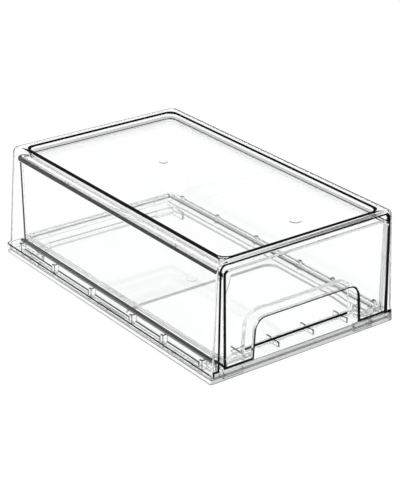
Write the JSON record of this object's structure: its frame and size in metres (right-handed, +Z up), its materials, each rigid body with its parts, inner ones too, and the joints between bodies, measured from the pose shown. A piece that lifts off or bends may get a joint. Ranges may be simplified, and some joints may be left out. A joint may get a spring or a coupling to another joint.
{
  "type": "stackable drawer box",
  "caption": "Clear stackable drawer box: a housing open at the front on a base frame, holding a sliding drawer with a recessed arch as its finger grip.",
  "frame": {"origin": "on the ground under the middle of the base frame", "axes": "+Z up, the drawer opens towards -Y, +X to the right seen from the front"},
  "size_m": [0.21, 0.3478, 0.1164],
  "materials": {
    "clear_housing": "polished crystal-clear moulded plastic",
    "clear_base": "clear moulded plastic, slightly duller than the housing",
    "clear_drawer": "polished crystal-clear moulded plastic"
  },
  "bodies": {
    "housing": {"housing_shell": "clear_housing", "base_frame": "clear_base"},
    "drawer": {"drawer_tray": "clear_drawer"}
  },
  "joints": [
    {"name": "drawer_slide", "type": "slide", "parent": "housing", "child": "drawer", "axis": [0, -1, 0], "range_m": [0, 0.25]}
  ]
}
